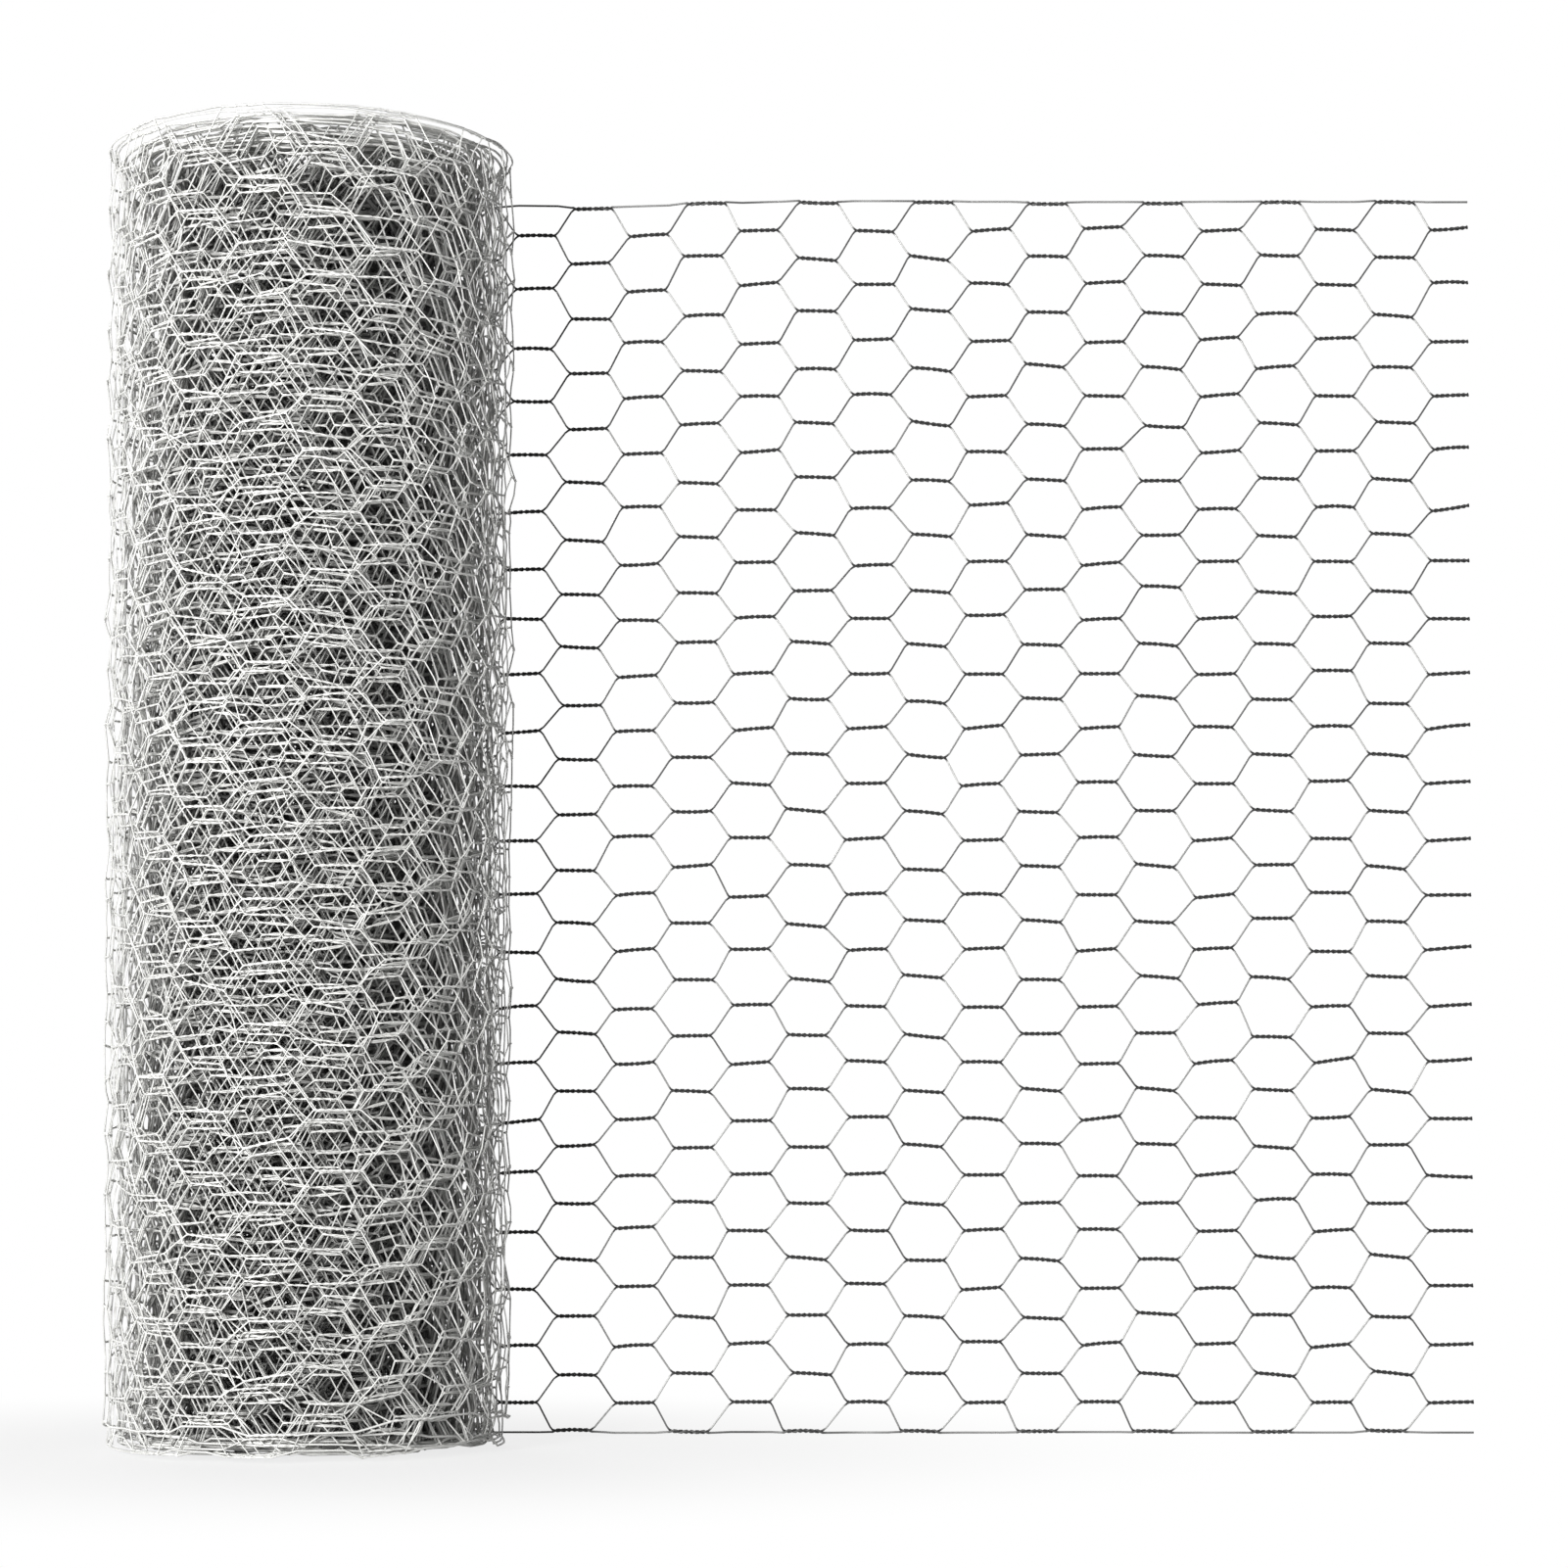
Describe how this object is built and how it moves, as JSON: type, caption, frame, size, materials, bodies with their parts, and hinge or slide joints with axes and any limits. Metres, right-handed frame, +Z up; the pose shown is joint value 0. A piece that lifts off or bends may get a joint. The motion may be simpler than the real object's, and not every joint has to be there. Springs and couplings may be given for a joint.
{
  "type": "roll of chicken wire",
  "caption": "Roll of galvanised hexagonal wire netting standing on end, its outer end unrolled into a flat upright stretch, for fencing, cages and plant guards.",
  "frame": {"origin": "on the roll's axis, in the plane of the floor that it stands on", "axes": "+Z up along the roll's axis; +X along the unrolled stretch, away from the roll; +Y from the axis towards the side of the roll that the stretch leaves"},
  "size_m": [0.6499, 0.19, 0.6],
  "materials": {
    "galvanised_wire": "hot-dip galvanised, dull with bright spots"
  },
  "bodies": {
    "root": {"wound_roll": "galvanised_wire", "unrolled_netting_near": "galvanised_wire", "unrolled_netting_far": "galvanised_wire"}
  },
  "joints": []
}
